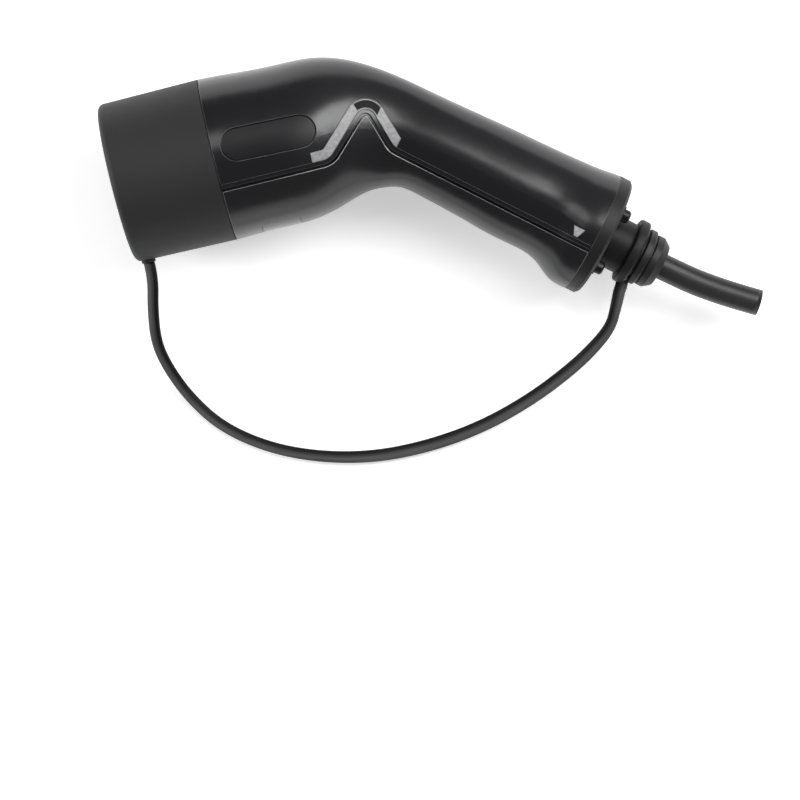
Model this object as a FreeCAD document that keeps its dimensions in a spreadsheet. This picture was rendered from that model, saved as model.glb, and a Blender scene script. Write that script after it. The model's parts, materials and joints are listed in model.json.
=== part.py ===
import FreeCAD, Part
import math
import os
import Sketcher

# Hand-held charging connector with its dust cap on its tether, a ribbed cable
# entry and the end of its cable. Lengths are in millimetres, angles in degrees.
# Working frame: origin at the centre of the joint between the cap and the
# housing, +X along the mating axis towards the rear, +Y to the back of the
# bend, +Z out of the left side. The finished model lies on its right side.

doc = FreeCAD.newDocument("charging_connector")
Vector = FreeCAD.Vector
Rotation = FreeCAD.Rotation
Placement = FreeCAD.Placement
UP = Vector(0, 0, 1)
ALONG = Vector(1, 0, 0)
DOWN = Vector(0, -1, 0)
REACH = 400.0
NEAR = 0.01

# Driving dimensions, one cell each
DIMENSIONS = [
    # dust cap
    ("cap_float", 3.2),
    ("cap_step", 0.05),
    ("cap_draft", 0.6),
    ("cap_corner", 2.8),
    ("cap_dome", 0.7),
    ("cap_wall", 2.1),
    ("cap_end_wall", 2.0),
    ("cap_gap", 0.4),
    ("cap_inner_corner", 1.2),
    ("boss_radius", 3.0),
    ("boss_height", 1.2),
    ("boss_from_front", 5.0),
    # front seal ring
    ("seal_lip", 1.55),
    ("seal_wall", 1.7),
    ("seal_front", 3.0),
    ("seal_back", 1.5),
    # contact shroud with its flat back
    ("sleeve_wall", 3.2),
    ("sleeve_reach", 39.0),
    ("sleeve_seat", 7.0),
    ("sleeve_flat_depth", 5.5),
    ("sleeve_corner", 4.0),
    ("flange_length", 4.0),
    ("window_length", 8.0),
    ("window_width", 6.0),
    ("window_setback", 8.5),
    ("notch_width", 7.0),
    ("notch_depth", 5.0),
    ("rim_chamfer", 0.6),
    # contact carrier and its towers
    ("carrier_thickness", 6.0),
    ("carrier_front", 3.0),
    ("tower_setback", 6.5),
    ("power_tower_radius", 6.65),
    ("signal_tower_radius", 4.5),
    ("power_pitch", 16.4),
    ("lower_row", 14.0),
    ("signal_row", 12.2),
    ("signal_pitch", 16.0),
    ("power_mouth_radius", 3.3),
    ("signal_mouth_radius", 1.8),
    ("mouth_depth", 1.5),
    ("mouth_flare", 0.7),
    ("tab_width", 6.0),
    ("tab_thickness", 3.6),
    ("tab_setback", 3.8),
    ("retainer_thickness", 3.0),
    ("retainer_radius", 26.5),
    ("retainer_screw_circle", 22.6),
    ("retainer_screw_turn", 60.0),
    ("retainer_screw_radius", 1.4),
    ("retainer_head_radius", 2.6),
    ("retainer_head_height", 1.8),
    # brass sockets
    ("power_bore_radius", 3.0),
    ("power_socket_radius", 4.1),
    ("signal_bore_radius", 1.5),
    ("signal_socket_radius", 2.3),
    ("socket_depth", 30.0),
    ("socket_stem", 12.0),
    ("socket_slot", 0.6),
    ("retainer_screw_depth", 5.0),
    ("resistor_radius", 1.2),
    ("resistor_lead", 2.2),
    ("resistor_lead_radius", 0.35),
    ("power_wire_radius", 1.75),
    ("signal_wire_radius", 0.9),
    ("crimp_wall", 0.7),
    ("crimp_length", 8.0),
    # moulded housing
    ("housing_wall", 2.8),
    ("skin_depth", 1.3),
    ("skin_gap", 0.15),
    ("groove_width", 3.0),
    ("lip_width", 1.7),
    ("lip_depth", 0.5),
    ("run_out", 4.0),
    ("trim_width", 4.3),
    ("parting_drop", 13.0),
    ("parting_foot_setback", 20.2),
    ("parting_rise_run", 17.9),
    ("parting_rise", 17.8),
    ("parting_fall", 72.5),
    ("parting_handle_drop", 8.45),
    ("parting_foot_round", 10.0),
    ("parting_apex_round", 1.5),
    ("parting_rear_round", 9.0),
    ("trim_start", 39.2),
    ("window_rim", 0.55),
    ("window_foot", 8.0),
    ("window_lean", 80.0),
    ("window_spread", 56.0),
    ("oval_length", 40.2),
    ("oval_height", 13.7),
    ("oval_place_x", 23.9),
    ("oval_place_y", 4.5),
    ("oval_groove", 0.5),
    ("oval_lean", -2.0),
    ("marker_place", 14.0),
    ("marker_top", 5.0),
    ("marker_foot", 1.8),
    ("marker_height", 4.1),
    ("marker_rise", 3.6),
    ("plate_start", 12.0),
    ("plate_length", 16.5),
    ("plate_width", 31.0),
    ("plate_corner", 2.0),
    ("plate_screw_radius", 0.9),
    ("plate_screw_length", 5.0),
    ("plate_screw_inset", 3.2),
    ("plate_head_radius", 1.4),
    ("plate_head_height", 0.7),
    ("rib_thickness", 2.0),
    # rear collar, gland and boot, measured along the handle axis
    ("tail_x", 153.1),
    ("tail_y", -71.5),
    ("handle_drop", 40.3),
    ("collar_radius", 26.75),
    ("collar_length", 5.9),
    ("collar_chamfer", 1.2),
    ("collar_plate", 3.2),
    ("collar_spigot", 3.5),
    ("collar_spigot_wall", 1.8),
    ("spigot_gap", 1.1),
    ("collar_screw_circle", 17.2),
    ("collar_screw_radius", 1.6),
    ("collar_head_radius", 2.9),
    ("collar_head_height", 3.2),
    ("collar_pad_radius", 3.8),
    ("collar_pad_height", 1.2),
    ("gland_flange_radius", 19.6),
    ("gland_flange_thickness", 3.0),
    ("neck_radius", 11.5),
    ("neck_length", 15.6),
    ("spout_radius", 8.5),
    ("spout_length", 6.5),
    ("ring_radius", 14.5),
    ("ring_length", 4.6),
    ("ring_round", 1.2),
    ("ring_lug_lean", 15.0),
    ("ring_lug_rear", 0.9),
    ("ring_lug_reach", 3.2),
    ("ring_lug_flare", 1.9),
    ("ring_lug_width", 4.8),
    ("ring_lug_thickness", 4.4),
    ("boot_ridge_radius", 12.6),
    ("boot_groove_radius", 10.8),
    ("boot_lip_radius", 11.6),
    ("boot_end_radius", 9.2),
    ("boot_length", 11.1),
    ("boot_ridge_length", 3.1),
    ("boot_groove_length", 0.8),
    ("boot_round", 0.6),
    # cable and the pieces that hold it
    ("cable_radius", 5.65),
    ("cable_joint", 5.0),
    ("cable_lead", 23.5),
    ("cable_stub", 2.7),
    ("clamp_length", 9.0),
    ("clamp_place", 20.0),
    ("clamp_width", 24.0),
    ("clamp_height", 5.0),
    ("clamp_split", 0.8),
    ("clamp_screw_pitch", 17.0),
    ("clamp_screw_radius", 1.4),
    ("clamp_head_radius", 2.6),
    ("clamp_head_height", 2.0),
    ("grommet_wall", 1.6),
    ("grommet_length", 5.0),
    ("bundle_radius", 2.9),
    ("wire_straight", 8.0),
    ("wire_gather", 16.0),
    ("tether_radius", 2.2),
    ("tether_cap_lead", 7.0),
    ("tether_ring_lead", 8.0),
    ("clearance", 0.1),
    ("seat_gap", 0.3),
]

# Sections of the housing, square to its centreline:
# name, place along and across its axis, tilt, height in the plane of the bend, width
BARREL_SECTIONS = [
    ("front", 0.0, 0.0, 0.0, 70.1, 70.0),
    ("barrel", 17.3, -0.3, 0.0, 68.7, 69.0),
    ("barrel_rear", 32.5, -0.6, 0.0, 68.0, 68.0),
    ("shoulder", 47.1, 0.2, -3.0, 65.0, 60.5),
    ("waist", 58.1, -0.3, -8.0, 59.0, 49.5),
    ("elbow_front", 68.0, -3.1, -16.0, 52.1, 41.5),
    ("elbow", 76.4, -7.4, -27.0, 46.8, 38.9),
    ("elbow_rear", 85.3, -12.5, -36.0, 42.6, 39.5),
]
GRIP_SECTIONS = [
    ("grip_start", -77.3, 1.7, 0.0, 42.4, 40.9),
    ("grip_front", -59.0, 1.8, 0.0, 43.8, 42.5),
    ("grip_middle", -40.0, 1.7, 0.0, 45.1, 44.2),
    ("grip_rear", -22.0, 1.4, 0.0, 47.2, 46.6),
    ("flare", -13.4, -0.3, 0.0, 52.0, 51.6),
    ("tail", -5.9, -0.1, 0.0, 53.6, 53.4),
]
SECTION_VALUES = ("place", "offset", "tilt", "tall", "wide")


class Size:
    """A size that knows its number and the sheet formula that gives it."""

    def __init__(self, number, formula):
        self.number = float(number)
        self.formula = formula

    def __float__(self):
        return self.number

    def joined(self, other, sign, number):
        right = other if isinstance(other, Size) else Size(other, repr(other))
        return Size(number, "(%s %s %s)" % (self.formula, sign, right.formula))

    def __add__(self, other):
        return self.joined(other, "+", self.number + float(other))

    def __sub__(self, other):
        return self.joined(other, "-", self.number - float(other))

    def __mul__(self, other):
        return self.joined(other, "*", self.number * float(other))

    def __truediv__(self, other):
        return self.joined(other, "/", self.number / float(other))

    def __neg__(self):
        return Size(-self.number, "(0 - %s)" % self.formula)


def fill_sheet():
    """Writes the driving dimensions and returns them by name."""
    sheet = doc.addObject("Spreadsheet::Sheet", "dims")
    rows = list(DIMENSIONS)
    for section in BARREL_SECTIONS + GRIP_SECTIONS:
        for value_name, value in zip(SECTION_VALUES, section[1:]):
            rows.append((section[0] + "_" + value_name, value))
    sizes = {}
    for row, (name, value) in enumerate(rows, start=1):
        sheet.set("A%d" % row, name)
        sheet.set("B%d" % row, str(value))
        sheet.setAlias("B%d" % row, name)
    doc.recompute()
    for name, value in rows:
        sizes[name] = Size(sheet.get(name), "dims." + name)
    return sizes


S = fill_sheet()
ZERO = Size(0.0, "0")
pieces = {}


def mm(name):
    return S[name].number


def bind(thing, prop, size):
    setattr(thing, prop, size.number)
    thing.setExpression(prop, size.formula)


def new_body(label):
    body = doc.addObject("PartDesign::Body", label)
    body.Label = label
    pieces[label] = body
    return body


def new_sketch(body, name, role):
    sketch = body.newObject("Sketcher::SketchObject", name)
    plane = [feature for feature in body.Origin.OriginFeatures if feature.Role == role][0]
    sketch.AttachmentSupport = [(plane, "")]
    sketch.MapMode = "FlatFace"
    return sketch


def hold_point(sketch, geometry, point, across, up):
    """Ties one point of a sketch to two sizes, measured from the origin."""
    for kind, size in (("DistanceX", across), ("DistanceY", up)):
        index = sketch.addConstraint(
            Sketcher.Constraint(kind, -1, 1, geometry, point, size.number))
        sketch.setExpression("Constraints[%d]" % index, size.formula)


def draw_outline(sketch, corners):
    """A closed outline of straight edges through corners given as sizes."""
    count = len(corners)
    first = sketch.GeometryCount
    places = [Vector(float(x), float(y), 0) for x, y in corners]
    for index in range(count):
        sketch.addGeometry(Part.LineSegment(places[index], places[(index + 1) % count]))
    for index in range(count):
        following = first + (index + 1) % count
        sketch.addConstraint(Sketcher.Constraint("Coincident", first + index, 2, following, 1))
    for index, (x, y) in enumerate(corners):
        hold_point(sketch, first + index, 1, x, y)


def draw_circle(sketch, x, y, radius):
    index = sketch.addGeometry(
        Part.Circle(Vector(float(x), float(y), 0), UP, radius.number))
    held = sketch.addConstraint(Sketcher.Constraint("Radius", index, radius.number))
    sketch.setExpression("Constraints[%d]" % held, radius.formula)
    hold_point(sketch, index, 3, x, y)


def draw_box(sketch, x0, x1, y0, y1):
    draw_outline(sketch, [(x0, y0), (x1, y0), (x1, y1), (x0, y1)])


def draw_d_shape(sketch, radius, flat):
    """A circle with its back cut off by a straight edge."""
    angle = math.acos(flat.number / radius.number)
    circle = Part.Circle(Vector(0, 0, 0), UP, radius.number)
    arc = sketch.addGeometry(Part.ArcOfCircle(circle, angle, 2 * math.pi - angle))
    low = Vector(flat.number, -radius.number * math.sin(angle), 0)
    high = Vector(flat.number, radius.number * math.sin(angle), 0)
    edge = sketch.addGeometry(Part.LineSegment(low, high))
    sketch.addConstraint(Sketcher.Constraint("Coincident", arc, 3, -1, 1))
    sketch.addConstraint(Sketcher.Constraint("Coincident", arc, 2, edge, 1))
    sketch.addConstraint(Sketcher.Constraint("Coincident", edge, 2, arc, 1))
    sketch.addConstraint(Sketcher.Constraint("Vertical", edge))
    held = sketch.addConstraint(Sketcher.Constraint("Radius", arc, radius.number))
    sketch.setExpression("Constraints[%d]" % held, radius.formula)
    held = sketch.addConstraint(Sketcher.Constraint("DistanceX", -1, 1, edge, 1, flat.number))
    sketch.setExpression("Constraints[%d]" % held, flat.formula)


def extrude(body, kind, name, sketch, length, backwards=False):
    """A Pad or Pocket of a sketch; on the YZ plane it runs along +X unless backwards."""
    feature = body.newObject("PartDesign::" + kind, name)
    feature.Profile = sketch
    bind(feature, "Length", length)
    feature.Reversed = backwards
    doc.recompute()
    return feature


def lift(sketch, size):
    """Moves a sketch off its plane by a size."""
    sketch.AttachmentOffset = Placement(Vector(0, 0, size.number), Rotation())
    sketch.setExpression("AttachmentOffset.Base.z", size.formula)


def turn_profile(body, sketch):
    """Turns a sketch on the XY plane about the X axis."""
    turn = body.newObject("PartDesign::Revolution", body.Label + "_turn")
    turn.Profile = sketch
    turn.ReferenceAxis = (sketch, ["H_Axis"])
    turn.Angle = 360
    doc.recompute()


def turned_body(label, corners):
    """A body turned about its own X axis from an outline of (along, radius) sizes."""
    body = new_body(label)
    sketch = new_sketch(body, label + "_profile", "XY_Plane")
    draw_outline(sketch, corners)
    turn_profile(body, sketch)
    return body


def dress(body, kind, name, size, wanted):
    """A Fillet or Chamfer on the edges of the body's tip that pass the wanted test."""
    shape = body.Tip.Shape
    names = ["Edge%d" % (index + 1) for index, edge in enumerate(shape.Edges) if wanted(edge)]
    base = body.Tip
    feature = body.newObject("PartDesign::" + kind, name)
    feature.Base = (base, names)
    bind(feature, "Radius" if kind == "Fillet" else "Size", size)
    doc.recompute()
    return feature


def add_shape(label, shape):
    """A piece whose form is worked out below and kept as it is."""
    piece = doc.addObject("Part::Feature", label)
    piece.Label = label
    piece.Shape = shape
    pieces[label] = piece
    return piece


def one_solid(shape):
    """The shape as one solid, or as the largest where a cut left crumbs."""
    solids = sorted(shape.Solids, key=lambda solid: solid.Volume)
    return solids[-1]


def circle_at(edge, along, radius):
    """True for a full circle about the X axis at a place along it."""
    if edge.Degenerated or not isinstance(edge.Curve, Part.Circle):
        return False
    curve = edge.Curve
    near = abs(curve.Center.x - along) < NEAR and math.hypot(curve.Center.y, curve.Center.z) < NEAR
    return near and abs(curve.Radius - radius) < NEAR


# Frame of the handle's end: X along the handle axis, zero at the collar's rear face
def tail_frame():
    turn = Rotation(UP, -mm("handle_drop"))
    return Placement(Vector(mm("tail_x"), mm("tail_y"), 0), turn)


def handle_point(along, across=0.0, side=0.0):
    return tail_frame().multVec(Vector(along, across, side))


def handle_axis():
    return Rotation(UP, -mm("handle_drop")).multVec(ALONG)


# Radii of the nose, each set in from the housing's round front
def sleeve_radius():
    return seal_radius() - S["seal_wall"] - S["seat_gap"]


def sleeve_flat():
    """How far the shroud's flat back lies from the mating axis."""
    return sleeve_radius() - S["sleeve_flat_depth"]


def seal_radius():
    return S["front_tall"] / 2 - S["seal_lip"]


def cap_length():
    """From the housing's front face to the cap's closed end, over the shroud."""
    return S["sleeve_reach"] + S["cap_float"] + S["cap_end_wall"]


def cap_radius():
    return S["front_tall"] / 2 - S["cap_step"]


def cap_front_radius():
    return cap_radius() - S["cap_draft"]


def cable_inside():
    """How far the cable's jacket runs into the handle: through the clamp and both walls."""
    return (mm("clamp_place") + mm("clamp_length") + mm("seat_gap") + mm("rib_thickness")
            + mm("cable_stub"))


# Housing: closed oval sections, joined by one smooth loft
def oval_section(centre, tilt, half_tall, half_wide):
    """An oval square to the centreline, as one closed curve that starts at the back."""
    ring = Part.Circle(Vector(0, 0, 0), ALONG, 1.0).toBSpline()
    turn = Rotation(UP, tilt)
    start = turn.multVec(Vector(0, 1, 0)) * half_tall
    level = turn.multVec(ALONG)
    side = UP * half_wide
    flatten = FreeCAD.Matrix(
        level.x, start.x, side.x, centre.x,
        level.y, start.y, side.y, centre.y,
        level.z, start.z, side.z, centre.z,
        0, 0, 0, 1)
    return Part.Wire([ring.toShape().transformGeometry(flatten)])


def housing_sections():
    """Centre, tilt, half height and half width of each section, front to rear."""
    rows = []
    for name in [section[0] for section in BARREL_SECTIONS]:
        centre = Vector(mm(name + "_place"), mm(name + "_offset"), 0)
        rows.append((centre, mm(name + "_tilt"), mm(name + "_tall") / 2, mm(name + "_wide") / 2))
    for name in [section[0] for section in GRIP_SECTIONS]:
        centre = handle_point(mm(name + "_place"), mm(name + "_offset"))
        tilt = mm(name + "_tilt") - mm("handle_drop")
        rows.append((centre, tilt, mm(name + "_tall") / 2, mm(name + "_wide") / 2))
    ahead = rows[0]
    behind = rows[-1]
    step = Rotation(UP, behind[1]).multVec(ALONG) * mm("run_out")
    rows.insert(0, (ahead[0] - ALONG * mm("run_out"), ahead[1], ahead[2], ahead[3]))
    rows.append((behind[0] + step, behind[1], behind[2], behind[3]))
    return rows


def housing_form(depth):
    """The housing's outer form, drawn in by a depth, running out past both ends."""
    wires = []
    for centre, tilt, half_tall, half_wide in housing_sections():
        wires.append(oval_section(centre, tilt, half_tall - depth, half_wide - depth))
    return Part.makeLoft(wires, True, False)


def rounded_path(corners, radii):
    """Straight runs through corners, joined by tangent arcs of the given radii."""
    edges = []
    start = corners[0]
    for index in range(1, len(corners) - 1):
        before = (corners[index] - corners[index - 1]).normalize()
        after = (corners[index + 1] - corners[index]).normalize()
        turn = before.getAngle(after)
        cut = radii[index - 1] * math.tan(turn / 2)
        arc_start = corners[index] - before * cut
        arc_end = corners[index] + after * cut
        inward = (after - before).normalize()
        gap = radii[index - 1] / math.cos(turn / 2) - radii[index - 1]
        edges.append(Part.LineSegment(start, arc_start).toShape())
        edges.append(Part.Arc(arc_start, corners[index] + inward * gap, arc_end).toShape())
        start = arc_end
    edges.append(Part.LineSegment(start, corners[-1]).toShape())
    return edges


def parting_corners():
    """Corners of the joint line between the shells: level, up the V, down, along the handle."""
    drop = mm("parting_drop")
    foot = Vector(mm("elbow_front_place") - mm("parting_foot_setback"), -drop, 0)
    apex = foot + Vector(mm("parting_rise_run"), mm("parting_rise"), 0)
    along = handle_axis()
    square = UP.cross(along)
    fall = Rotation(UP, -mm("parting_fall")).multVec(ALONG)
    height = (apex - handle_point(0)).dot(square) + mm("parting_handle_drop")
    lower_foot = apex - fall * (height / fall.dot(square))
    return [Vector(-REACH / 8, -drop, 0), foot, apex, lower_foot, lower_foot + along * REACH / 3]


def offset_path(distance):
    """The joint line moved square to itself towards the back by a distance."""
    corners = parting_corners()
    normals = []
    for index in range(len(corners) - 1):
        run = (corners[index + 1] - corners[index]).normalize()
        normals.append(Vector(-run.y, run.x, 0))
    moved = [corners[0] + normals[0] * distance]
    for index in range(1, len(corners) - 1):
        bisector = (normals[index - 1] + normals[index]).normalize()
        stretch = distance / bisector.dot(normals[index])
        moved.append(corners[index] + bisector * stretch)
    moved.append(corners[-1] + normals[-1] * distance)
    radii = [mm("parting_foot_round") - distance, mm("parting_apex_round") + distance,
             mm("parting_rear_round") - distance]
    return moved, rounded_path(moved, radii)


def prism(edges):
    """A flat outline, drawn in the plane of the bend, made solid right through the part."""
    wire = Part.Wire(Part.sortEdges(edges)[0])
    face = Part.Face(wire)
    face.translate(UP * -REACH / 4)
    return face.extrude(UP * REACH / 2)


def strip_prism(near, far):
    """What lies between two offsets of the joint line."""
    near_corners, near_edges = offset_path(near)
    far_corners, far_edges = offset_path(far)
    ends = [Part.LineSegment(near_corners[0], far_corners[0]).toShape(),
            Part.LineSegment(near_corners[-1], far_corners[-1]).toShape()]
    return prism(near_edges + far_edges + ends)


def side_prism(distance, towards):
    """All that lies on one side of an offset of the joint line; towards is +1 for the back."""
    corners, edges = offset_path(distance)
    far = UP.cross(corners[-1] - corners[-2]).normalize() * towards * REACH / 2
    start = corners[0] + Vector(0, towards * REACH / 2, 0)
    end = corners[-1] + far
    edges.append(Part.LineSegment(corners[0], start).toShape())
    edges.append(Part.LineSegment(start, end).toShape())
    edges.append(Part.LineSegment(end, corners[-1]).toShape())
    return prism(edges)


def polygon_prism(corners):
    return prism([Part.LineSegment(corners[index - 1], corner).toShape()
                  for index, corner in enumerate(corners)])


def trim_prism(inset):
    """The V-shaped strip beside the joint line, drawn in by an inset."""
    near = mm("groove_width") + inset
    far = mm("groove_width") + mm("trim_width") - inset
    strip = strip_prism(near, far)
    corner = offset_path(mm("groove_width") + mm("trim_width"))[0][3]
    square = UP.cross(handle_axis())
    last = corner - handle_axis() * inset
    start = mm("trim_start") + inset
    reach = REACH / 10
    keep = polygon_prism([Vector(start, -reach, 0), last - square * reach,
                          last + square * reach, Vector(start, reach, 0)])
    return strip.common(keep)


def lens_prism(inset):
    """The window at the top of the V, drawn in by an inset."""
    near = mm("groove_width") + mm("window_rim") + inset
    far = mm("groove_width") + mm("trim_width") - mm("window_rim") - inset
    strip = strip_prism(near, far)
    reach = REACH / 20
    half = mm("window_spread") / 2
    middle = Rotation(UP, mm("window_lean")).multVec(ALONG)
    left = Rotation(UP, mm("window_lean") + half).multVec(ALONG)
    right = Rotation(UP, mm("window_lean") - half).multVec(ALONG)
    tip = parting_corners()[2] - Vector(0, mm("window_foot"), 0)
    tip = tip + middle * (inset / math.sin(math.radians(half)))
    return strip.common(polygon_prism([tip, tip + left * reach, tip + right * reach]))


def oval_prism(inset):
    """The long rounded panel on each side of the barrel."""
    half = mm("oval_height") / 2 - inset
    run = mm("oval_length") / 2 - mm("oval_height") / 2
    centre = Vector(mm("oval_place_x"), mm("oval_place_y"), 0)
    lean = Rotation(UP, mm("oval_lean"))
    corners = [lean.multVec(Vector(x, y, 0)) + centre
               for x, y in ((-run, -half), (run, -half), (run, half), (-run, half))]
    ends = [lean.multVec(Vector(x, 0, 0)) + centre for x in (run + half, -run - half)]
    return prism([Part.LineSegment(corners[0], corners[1]).toShape(),
                  Part.Arc(corners[1], ends[0], corners[2]).toShape(),
                  Part.LineSegment(corners[2], corners[3]).toShape(),
                  Part.Arc(corners[3], ends[1], corners[0]).toShape()])


def marker_prism(inset):
    """The small inlay where the groove ends near the collar, narrow towards the belly."""
    low = mm("marker_rise") - mm("parting_handle_drop")
    high = low + mm("marker_height")
    foot = mm("marker_foot") / 2 - inset
    top = mm("marker_top") / 2 - inset
    outline = [(-foot, low + inset), (foot, low + inset), (top, high - inset),
               (-top, high - inset)]
    return polygon_prism([handle_point(along - mm("marker_place"), across)
                          for along, across in outline])


def plate_block(inset):
    """The rating plate's outline, run from the belly side up to the mating axis."""
    length = mm("plate_length") - 2 * inset
    width = mm("plate_width") - 2 * inset
    block = Part.makeBox(length, mm("front_tall"), width,
                         Vector(mm("plate_start") + inset, -mm("front_tall"), -width / 2))
    upright = [edge for edge in block.Edges
               if abs(edge.Vertexes[0].Y - edge.Vertexes[-1].Y) > 1]
    return block.makeFillet(mm("plate_corner") - inset, upright)


def half_space(side):
    """Everything left (+1) or right (-1) of the plane of the bend."""
    corner = Vector(-REACH / 2, -REACH / 2, 0 if side > 0 else -REACH / 2)
    return Part.makeBox(REACH, REACH, REACH / 2, corner)


def housing_solid():
    """The full outer form, cut square at the front and at the collar."""
    form = housing_form(0)
    front = Part.makeBox(REACH, REACH, REACH, Vector(-REACH, -REACH / 2, -REACH / 2))
    rear = Part.makeBox(REACH, REACH, REACH, Vector(-mm("collar_length"), -REACH / 2, -REACH / 2))
    rear.Placement = tail_frame()
    return form.cut(front).cut(rear)


def rib_places():
    """Where cross walls start along the handle, from the collar's rear face."""
    gap = mm("seat_gap")
    front = mm("clamp_place") + mm("clamp_length") + mm("rib_thickness") + gap
    return -front, gap - mm("clamp_place")


def housing_cavity():
    """The hollow of the housing, with the cross walls that carry the cable left standing."""
    hollow = housing_form(mm("housing_wall"))
    size = REACH / 4
    for place in rib_places():
        wall = Part.makeBox(mm("rib_thickness"), size, size, Vector(place, -size / 2, -size / 2))
        wall.Placement = tail_frame()
        hollow = hollow.cut(wall)
    bore = Part.makeCylinder(mm("cable_radius") + mm("clearance"), REACH / 5,
                             handle_point(-REACH / 5 - mm("collar_length")), handle_axis())
    keep = Part.makeBox(REACH / 5, size, size, Vector(-cable_inside(), -size / 2, -size / 2))
    keep.Placement = tail_frame()
    return hollow.fuse(bore.common(keep))


def build_housing():
    """Back and belly shells, V trims, windows and oval panels, all cut from one form."""
    form = housing_solid()
    floor_form = housing_form(mm("skin_depth"))
    skin_form = housing_form(mm("skin_depth") - mm("clearance"))
    hollow = form.cut(housing_cavity())
    rebate = Part.makeCylinder(seal_radius().number + mm("clearance"),
                               mm("seal_back") + REACH / 8, Vector(-REACH / 8, 0, 0), ALONG)
    hollow = hollow.cut(rebate)
    gap = mm("skin_gap")
    groove = strip_prism(0, mm("groove_width") - mm("lip_width"))
    pockets = groove.fuse(trim_prism(0)).fuse(oval_prism(-gap)).fuse(marker_prism(0))
    pockets = pockets.cut(floor_form)
    lip = strip_prism(0, mm("groove_width")).cut(housing_form(mm("lip_depth")))
    back = hollow.common(side_prism(gap, 1)).cut(pockets).cut(lip)
    add_shape("back_shell", one_solid(back))
    belly = hollow.common(side_prism(0, -1)).cut(plate_block(-gap).cut(floor_form))
    centre = Vector(mm("plate_start") + mm("plate_screw_inset"), 0, 0)
    screw_hole = Part.makeCylinder(mm("plate_screw_radius") + mm("clearance"), REACH / 4,
                                   centre, DOWN)
    add_shape("belly_shell", one_solid(belly.cut(screw_hole)))
    trim = form.common(trim_prism(gap)).cut(skin_form).cut(lens_prism(0))
    lens = form.common(lens_prism(gap)).cut(skin_form)
    panel = form.common(oval_prism(mm("oval_groove") - gap)).cut(skin_form)
    marker = form.common(marker_prism(gap)).cut(skin_form)
    for side, name in ((1, "left"), (-1, "right")):
        half = half_space(side)
        add_shape("side_trim_" + name, one_solid(trim.common(half)))
        add_shape("status_window_" + name, one_solid(lens.common(half)))
        add_shape("side_panel_" + name, one_solid(panel.common(half)))
        add_shape("side_marker_" + name, one_solid(marker.common(half)))
    plate = form.common(plate_block(0)).cut(skin_form)
    surface = form.common(Part.makeLine(centre, centre + DOWN * REACH / 4)).Length
    seat = centre + DOWN * (surface - mm("plate_head_height"))
    recess = Part.makeCylinder(mm("plate_head_radius") + mm("clearance"), REACH / 8, seat, DOWN)
    add_shape("rating_plate", one_solid(plate.cut(screw_hole).cut(recess)))
    add_shape("rating_plate_screw", screw(seat, DOWN, mm("plate_screw_radius"),
                                          mm("plate_screw_length"), mm("plate_head_radius"),
                                          mm("plate_head_height")))


def build_cap():
    """Dust cap: a turned cup with a slightly domed front and a boss for its tether."""
    length = cap_length()
    front = cap_front_radius()
    inner = front - S["cap_wall"]
    floor = -(length - S["cap_end_wall"])
    lip = -(S["seal_front"] + S["seat_gap"])
    lip_radius = seal_radius() + S["seat_gap"]
    dome = S["cap_dome"]
    body = new_body("dust_cap")
    sketch = new_sketch(body, "dust_cap_profile", "XY_Plane")
    corners = [(-length - dome, ZERO), (-length, front), (-S["cap_gap"], cap_radius()),
               (-S["cap_gap"], lip_radius), (lip, lip_radius), (lip, inner), (floor, inner),
               (floor, ZERO)]
    last = len(corners) - 1
    places = [Vector(float(x), float(y), 0) for x, y in corners]
    dome_radius = (front * front + dome * dome) / (dome * 2)
    centre = dome_radius - length - dome
    spread = math.asin(front.number / dome_radius.number)
    circle = Part.Circle(Vector(centre.number, 0, 0), UP, dome_radius.number)
    sketch.addGeometry(Part.ArcOfCircle(circle, math.pi - spread, math.pi))
    for index in range(1, last + 1):
        sketch.addGeometry(Part.LineSegment(places[index], places[(index + 1) % len(places)]))
    for index in range(last):
        end = 1 if index == 0 else 2
        sketch.addConstraint(Sketcher.Constraint("Coincident", index, end, index + 1, 1))
    sketch.addConstraint(Sketcher.Constraint("Coincident", last, 2, 0, 2))
    hold_point(sketch, 0, 3, centre, ZERO)
    for index in range(1, last + 1):
        hold_point(sketch, index, 1, *corners[index])
    sketch.addConstraint(Sketcher.Constraint("PointOnObject", last, 2, -1))
    turn_profile(body, sketch)
    boss = new_sketch(body, "tether_boss_outline", "XZ_Plane")
    lift(boss, front - S["cap_wall"] / 2)
    draw_circle(boss, S["boss_from_front"] - length, ZERO, S["boss_radius"])
    extrude(body, "Pad", "tether_boss", boss, S["cap_wall"] / 2 + S["boss_height"])
    dress(body, "Fillet", "front_rounding", S["cap_corner"],
          lambda edge: circle_at(edge, -length.number, front.number))
    dress(body, "Fillet", "inner_rounding", S["cap_inner_corner"],
          lambda edge: circle_at(edge, floor.number, inner.number))


def build_seal():
    """Rubber ring in the housing's front rebate, which the cap slides over."""
    outer = seal_radius()
    inner = outer - S["seal_wall"]
    front = -S["seal_front"]
    turned_body("nose_seal", [(front, inner), (front, outer), (S["seal_back"], outer),
                              (S["seal_back"], inner)])


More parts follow.
